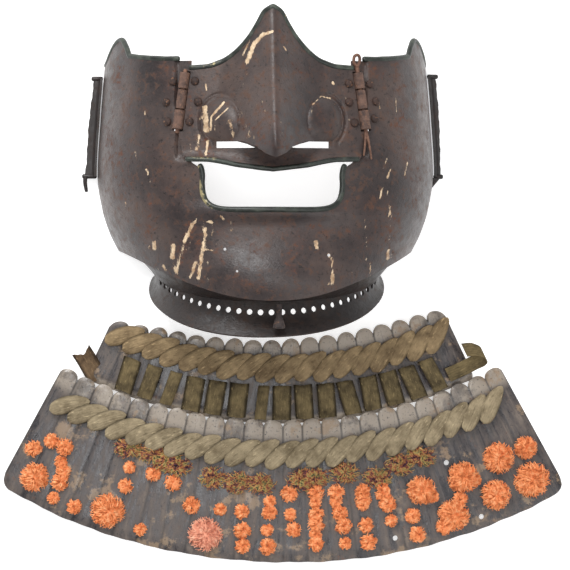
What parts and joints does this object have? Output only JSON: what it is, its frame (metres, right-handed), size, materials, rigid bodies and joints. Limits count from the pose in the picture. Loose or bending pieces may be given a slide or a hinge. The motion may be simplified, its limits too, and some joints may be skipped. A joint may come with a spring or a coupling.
{
  "type": "samurai half mask with laced throat guard",
  "caption": "Lacquered iron half mask with hinged nose plate, holed collar and ear flanges, lying with its separate fan-shaped laced scale throat guard.",
  "frame": {"origin": "middle of the footprint of mask and throat guard together, on the surface they lie on", "axes": "+X to the right as seen from in front of the face, +Y up the face towards the nose, +Z out of the face, away from the surface"},
  "size_m": [0.2918, 0.2912, 0.1047],
  "materials": {
    "lacquered_iron": "worn dark brown lacquer over rusty iron",
    "rim_metal": "green-black lacquered rolled rim",
    "rusted_iron": "bare rusty iron",
    "lacquered_scale": "dusty black lacquer on scales",
    "lacing_tape": "dusty olive brown flat lacing",
    "orange_silk": "frayed orange silk thread"
  },
  "bodies": {
    "root": {"braid_lower": "lacing_tape", "braid_upper": "lacing_tape", "chin_peg": "lacquered_iron", "collar": "lacquered_iron", "ear_flange_left": "lacquered_iron", "ear_flange_right": "lacquered_iron", "face_plate": "lacquered_iron", "hinge_left_cheek_leaf": "rusted_iron", "hinge_left_nose_leaf": "rusted_iron", "hinge_left_pin": "rusted_iron", "hinge_right_cheek_leaf": "rusted_iron", "hinge_right_nose_leaf": "rusted_iron", "hinge_right_split_pin": "rusted_iron", "lame_lower": "lacquered_scale", "lame_upper": "lacquered_scale", "nose_plate": "lacquered_iron", "rim_cheek_left": "rim_metal", "rim_cheek_right": "rim_metal", "rim_mouth": "rim_metal", "rim_nose": "rim_metal", "rim_upper_lip": "rim_metal", "rivet_left_cheek_lower": "rusted_iron", "rivet_left_cheek_middle": "rusted_iron", "rivet_left_cheek_upper": "rusted_iron", "rivet_left_nose_lower": "rusted_iron", "rivet_left_nose_middle": "rusted_iron", "rivet_left_nose_upper": "rusted_iron", "rivet_right_cheek_lower": "rusted_iron", "rivet_right_cheek_middle": "rusted_iron", "rivet_right_cheek_upper": "rusted_iron", "rivet_right_nose_lower": "rusted_iron", "rivet_right_nose_middle": "rusted_iron", "rivet_right_nose_upper": "rusted_iron", "rosette_left_edge": "orange_silk", "rosette_left_low": "orange_silk", "rosette_middle_low": "orange_silk", "rosette_right_corner": "orange_silk", "rosette_right_edge": "orange_silk", "rosette_right_foot": "orange_silk", "rosette_right_high": "orange_silk", "rosette_right_inner": "orange_silk", "rosette_right_low": "orange_silk", "rosette_right_middle": "orange_silk", "tape_1": "lacing_tape", "tape_10": "lacing_tape", "tape_11": "lacing_tape", "tape_12": "lacing_tape", "tape_13": "lacing_tape", "tape_14": "lacing_tape", "tape_15": "lacing_tape", "tape_2": "lacing_tape", "tape_3": "lacing_tape", "tape_4": "lacing_tape", "tape_5": "lacing_tape", "tape_6": "lacing_tape", "tape_7": "lacing_tape", "tape_8": "lacing_tape", "tape_9": "lacing_tape", "tape_curled_right": "lacing_tape", "tape_loose_left": "lacing_tape"}
  },
  "joints": []
}
